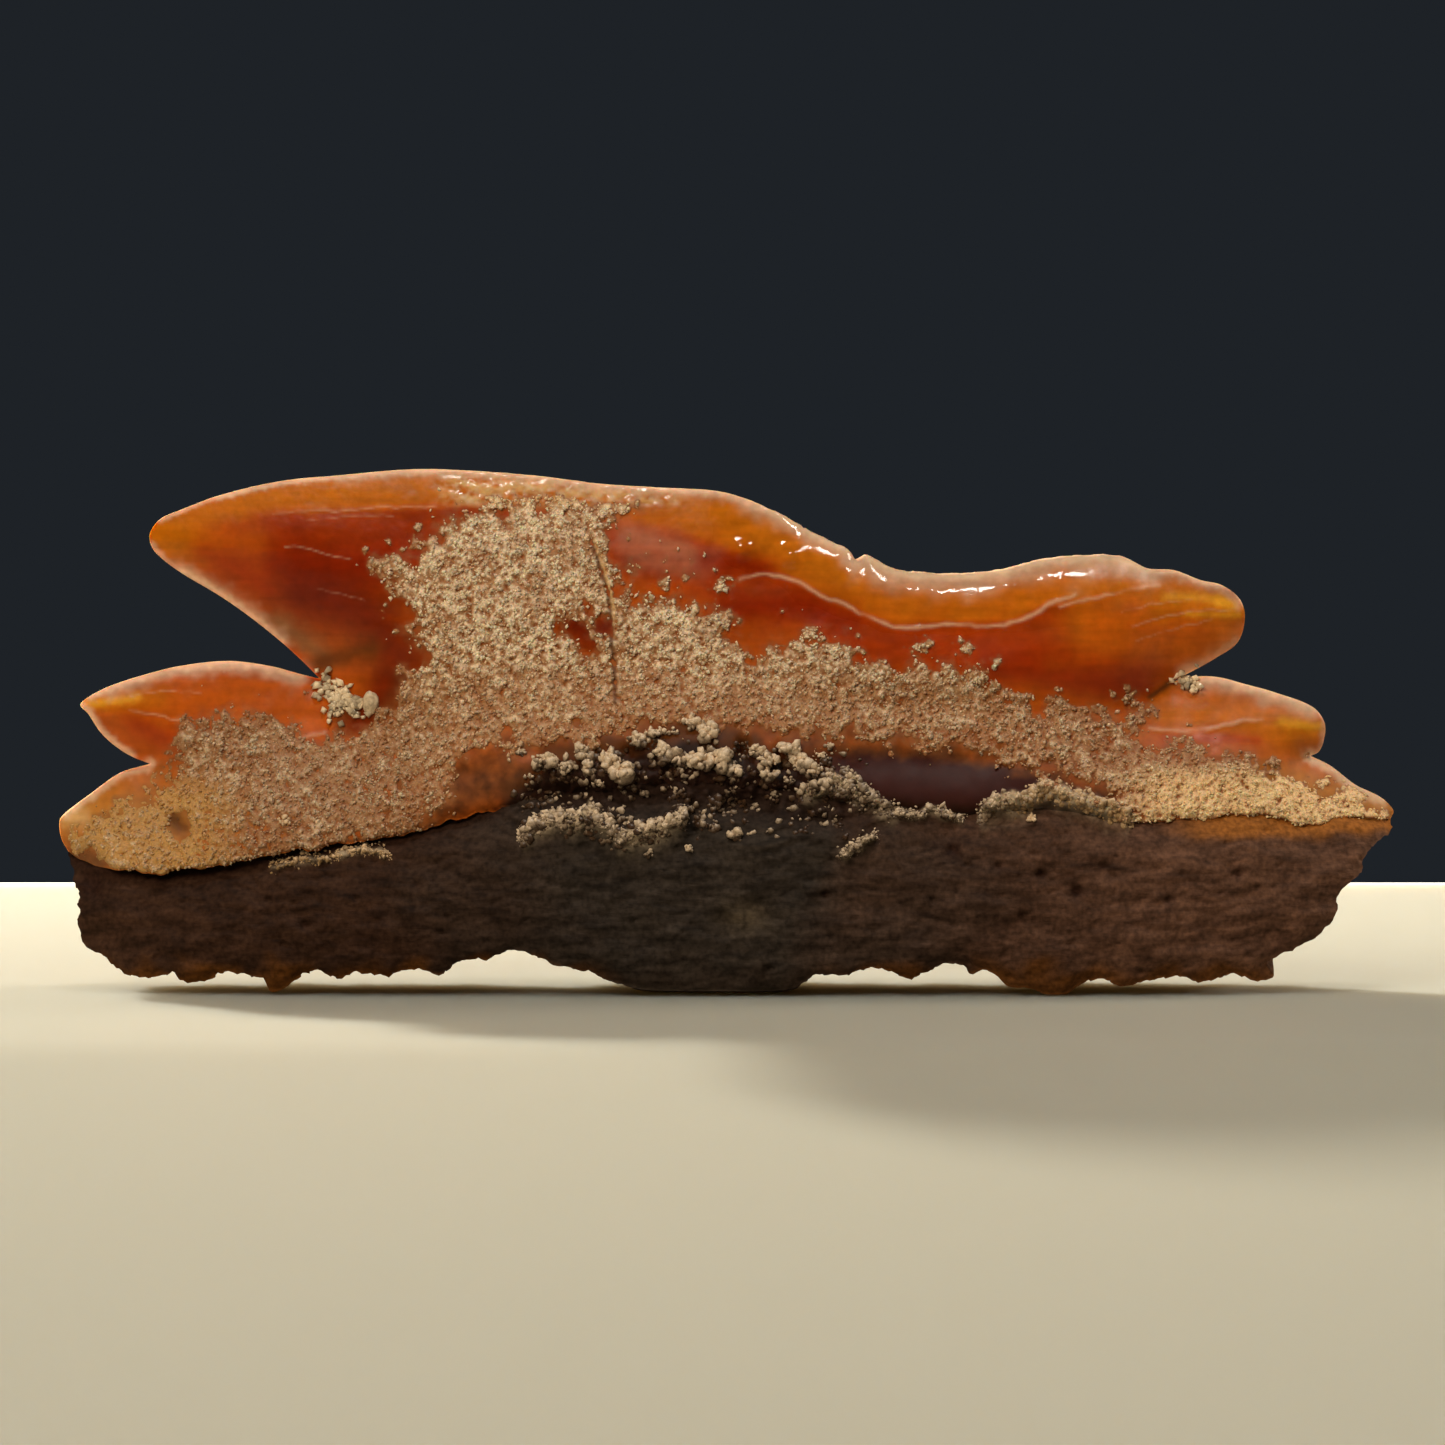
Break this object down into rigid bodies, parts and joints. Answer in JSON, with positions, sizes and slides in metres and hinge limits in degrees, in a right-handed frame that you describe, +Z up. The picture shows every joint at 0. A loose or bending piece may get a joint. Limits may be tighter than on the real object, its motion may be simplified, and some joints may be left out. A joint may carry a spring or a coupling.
{
  "type": "fossil bramble shark tooth",
  "caption": "Low, wide fossil shark tooth with a leaning main cusp, side cusplets and a thick fibrous root, crusted with sediment; it stands on its root.",
  "frame": {"origin": "centre of the bounding box's bottom face, on the surface the tooth stands on", "axes": "+Z up from the root to the blade, +X along the blade away from the main cusp's tip, -Y towards the crusted front"},
  "size_m": [0.0134, 0.0028, 0.0052],
  "materials": {
    "fossil_tooth": "glossy amber-orange enamel above a dull dark brown root"
  },
  "bodies": {
    "root": {"tooth": "fossil_tooth"}
  },
  "joints": []
}
